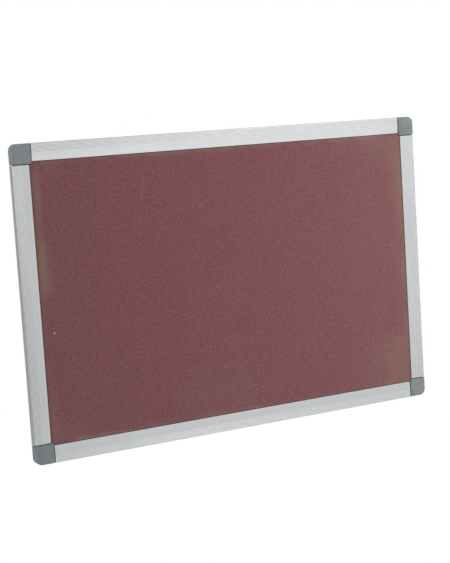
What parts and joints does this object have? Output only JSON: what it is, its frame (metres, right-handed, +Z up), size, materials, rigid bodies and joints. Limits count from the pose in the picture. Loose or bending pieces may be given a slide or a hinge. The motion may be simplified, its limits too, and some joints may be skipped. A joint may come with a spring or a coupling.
{
  "type": "framed felt pinboard",
  "caption": "Wall pinboard: a burgundy felt-faced softboard in a ribbed aluminium frame, with grey press-on corner caps that hide the wall screws.",
  "frame": {"origin": "in the wall's surface, behind the middle of the board", "axes": "+X right seen from the front, +Y from the board into the wall, +Z up; the felt faces -Y"},
  "size_m": [0.6, 0.0115, 0.4],
  "materials": {
    "felt": "matt needle felt, burgundy, a little faded at the rim",
    "softboard": "raw wood-fibre softboard",
    "backing": "matt grey-brown board",
    "aluminium": "satin anodised extrusion, fine ribs along its outer half",
    "corner_plastic": "plain moulded",
    "cap_plastic": "fine matt moulded texture",
    "screw_steel": "zinc-plated"
  },
  "bodies": {
    "board": {"felt_cover": "felt", "softboard_core": "softboard", "backing_sheet": "backing", "rail_bottom": "aluminium", "rail_left": "aluminium", "rail_top": "aluminium", "rail_right": "aluminium", "corner_bottom_left": "corner_plastic", "corner_top_left": "corner_plastic", "corner_top_right": "corner_plastic", "corner_bottom_right": "corner_plastic", "rail_screw_bottom_1": "screw_steel", "rail_screw_bottom_2": "screw_steel", "rail_screw_left_1": "screw_steel", "rail_screw_left_2": "screw_steel", "rail_screw_top_1": "screw_steel", "rail_screw_top_2": "screw_steel", "rail_screw_right_1": "screw_steel", "rail_screw_right_2": "screw_steel"},
    "loose_cap_bottom_left": {"cap_bottom_left": "cap_plastic"},
    "loose_cap_top_left": {"cap_top_left": "cap_plastic"},
    "loose_cap_top_right": {"cap_top_right": "cap_plastic"},
    "loose_cap_bottom_right": {"cap_bottom_right": "cap_plastic"}
  },
  "joints": [
    {"name": "cap_pull_bottom_left", "type": "slide", "parent": "board", "child": "loose_cap_bottom_left", "axis": [0, -1, 0], "range_m": [0, 0.025]},
    {"name": "cap_pull_top_left", "type": "slide", "parent": "board", "child": "loose_cap_top_left", "axis": [0, -1, 0], "range_m": [0, 0.025]},
    {"name": "cap_pull_top_right", "type": "slide", "parent": "board", "child": "loose_cap_top_right", "axis": [0, -1, 0], "range_m": [0, 0.025]},
    {"name": "cap_pull_bottom_right", "type": "slide", "parent": "board", "child": "loose_cap_bottom_right", "axis": [0, -1, 0], "range_m": [0, 0.025]}
  ]
}
